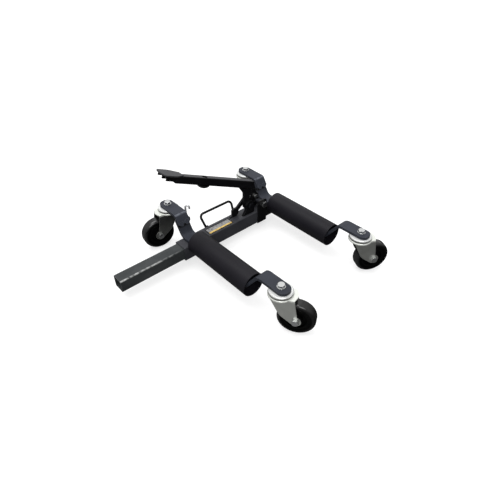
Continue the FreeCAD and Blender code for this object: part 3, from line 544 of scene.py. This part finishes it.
# Two pawls work the ratchet slots in the inner tube: a driving link from the heel, and a holding pawl on a
# big bolt between two cheek plates that are welded to the sides of the outer tube.
HOLD_RADIUS = 0.006
HOLD_PROUD = 0.004
CHEEK_WELD = WELD_RADIUS * 0.8
dress(lever_coat, "drive_pawl", "hold_pawl", "cheek_front", "cheek_back")
dress(bright_zinc, "hold_bolt")
dress(dark_steel, "hold_spacers")
for side, outward in (("front", -1), ("back", 1)):
    low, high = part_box("cheek_" + side)
    y = (low.y if outward > 0 else high.y) + outward * WELD_RADIUS / 2
    ends = [Vector((low.x, y, z)) for z in (low.z + WELD_INSET, BEAM_TOP - WELD_INSET)]
    weld(f"cheek_weld_{side}", *ends, beam_coat, "black_paint", "base", CHEEK_WELD)
hold_low, hold_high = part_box("hold_bolt")
hold_middle = (hold_low + hold_high) / 2
hold_nut = (hold_middle.x, hold_high.y, hold_middle.z)
bolt_end("hold_bolt_end", hold_nut, (0, 1, 0), HOLD_RADIUS, HOLD_PROUD, "base")

# The carry handle is a bent steel rod whose feet are welded to the back of the beam.
# Each weld is a rippled ring around the foot, slanted and stretched to the rod's direction.
HANDLE_SPLAY = 0.009
ROD_RADIUS = 0.0038
FOOT_DROP = 0.010
RING_SIDES = 28
FOOT_Z = BEAM_TOP - FOOT_DROP
dress(lever_coat, "carry_handle")
handle_low, handle_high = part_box("carry_handle")
rise = Vector((0, handle_high.y - ROD_RADIUS - beam_high.y, handle_high.z - ROD_RADIUS - FOOT_Z))
for side, x, lean in (("left", handle_low.x + ROD_RADIUS + HANDLE_SPLAY, -1),
                      ("right", handle_high.x - ROD_RADIUS - HANDLE_SPLAY, 1)):
    leg = rise + Vector((lean * HANDLE_SPLAY, 0, 0))
    stretch = leg.length / leg.y
    bpy.ops.object.select_all(action="DESELECT")
    bpy.ops.mesh.primitive_torus_add(major_radius=ROD_RADIUS + WELD_RADIUS / 4, major_segments=RING_SIDES,
                                     minor_radius=WELD_RADIUS * 0.75, minor_segments=8)
    ring = bpy.context.object
    bpy.ops.object.mode_set(mode="EDIT")
    bpy.ops.mesh.select_all(action="DESELECT")
    bpy.ops.object.mode_set(mode="OBJECT")
    for vertex in ring.data.vertices:
        turn = math.atan2(vertex.co.y, vertex.co.x) / (2 * math.pi) * RING_SIDES
        vertex.select = round(turn) % 2 == 0
    bpy.ops.object.mode_set(mode="EDIT")
    bpy.ops.mesh.select_mode(type="VERT")
    bpy.ops.transform.shrink_fatten(value=WELD_RADIUS / 8)
    bpy.ops.object.mode_set(mode="OBJECT")
    slant = Matrix.Rotation(math.atan2(leg.x, leg.z), 4, "Y")
    upright = Matrix.Rotation(math.radians(90), 4, "X")
    tall = Matrix.Scale(stretch, 4, (0, 0, 1))
    ring.data.transform(Matrix.Translation((x, beam_high.y, FOOT_Z)) @ slant @ tall @ upright)
    fit(ring, f"handle_weld_{side}", lever_coat, "base")

# A hooked pin stands in a lug on the edge of the near rear bracket.
# Its zinc is rougher and paler than that of the bolts.
pin_zinc = zinc_plate("pin_zinc", (0.86, 0.87, 0.88), 0.5)
dress(pin_zinc, "lock_pin")

# Pale floor under soft light from above, with a weaker light from the front and a faint one from behind.
# The surroundings are white overhead and behind and dark below, and the floor sends no light back, so that
# undersides stay dark.
bpy.ops.object.select_all(action="DESELECT")
bpy.ops.mesh.primitive_plane_add(size=30, location=(0, 0, 0))
floor = bpy.context.object
floor.name = "floor"
floor_paint, floor_shader, floor_place = new_finish("pale_floor")
feed(floor_shader, "Base Color", floor_place.noise(3).mix((0.48, 0.48, 0.48), (0.52, 0.52, 0.52)))
floor_shader.inputs["Roughness"].default_value = 1.0
floor_shader.inputs["Specular IOR Level"].default_value = 0.0
floor_shader.inputs["Emission Color"].default_value = (1, 1, 1, 1)
floor_shader.inputs["Emission Strength"].default_value = 0.62
floor.data.materials.append(floor_paint)
floor.visible_diffuse = False
floor.visible_glossy = False

world = bpy.data.worlds.new("studio")
world.use_nodes = True
sky = world.node_tree.nodes["Background"]
sky_place = Value(world.node_tree, world.node_tree.nodes.new("ShaderNodeTexCoord").outputs["Generated"])
across, back, height = [sky_place.axis(letter) for letter in "XYZ"]
below = across.ramp(0.35, -0.8).mix((0.04, 0.04, 0.04), (0.27, 0.27, 0.27))
backdrop = (across * 0.7 + back * 0.7).ramp(0.3, 0.9) * height.ramp(-0.05, 0.05)
overhead = height.ramp(-0.15, 0.85)
feed(sky, "Color", overhead.math("MAXIMUM", overhead, backdrop).mix(below, (0.85, 0.85, 0.85)))
bpy.context.scene.world = world


def soft_sun(name, source, strength, spread):
    """Light from far away in the direction of source, as soft as a lamp that fills this many degrees."""
    lamp = bpy.data.lights.new(name, "SUN")
    lamp.energy = strength
    lamp.angle = math.radians(spread)
    light = bpy.data.objects.new(name, lamp)
    bpy.context.scene.collection.objects.link(light)
    light.rotation_euler = Vector(source).to_track_quat("Z", "Y").to_euler()


soft_sun("overhead", (-0.15, 0.2, 1), 1.4, 35)
soft_sun("front_fill", (-0.45, -0.6, 0.65), 0.8, 30)
soft_sun("back_rim", (0.52, 0.57, 0.64), 0.18, 45)
bpy.context.scene.view_settings.view_transform = "Standard"

# The camera stands beyond the free end's front corner and looks down across the rollers.
# Its place, its angles and its lens were fitted to the straight edges in the photo.
CAMERA_PLACE = (-0.59495, -0.67015, 0.81416)
CAMERA_PITCH = 39.503
CAMERA_YAW = 47.465
CAMERA_ROLL = 0.296
SENSOR_WIDTH = 36
LENS = 29.094
camera_data = bpy.data.cameras.new("camera")
camera_data.sensor_width = SENSOR_WIDTH
camera_data.lens = LENS
camera_data.clip_start = 0.01
camera = bpy.data.objects.new("camera", camera_data)
bpy.context.scene.collection.objects.link(camera)
yaw = Matrix.Rotation(math.radians(CAMERA_YAW - 90), 4, "Z")
pitch = Matrix.Rotation(math.radians(90 - CAMERA_PITCH), 4, "X")
roll = Matrix.Rotation(math.radians(CAMERA_ROLL), 4, "Z")
camera.matrix_world = Matrix.Translation(CAMERA_PLACE) @ yaw @ pitch @ roll
bpy.context.scene.camera = camera
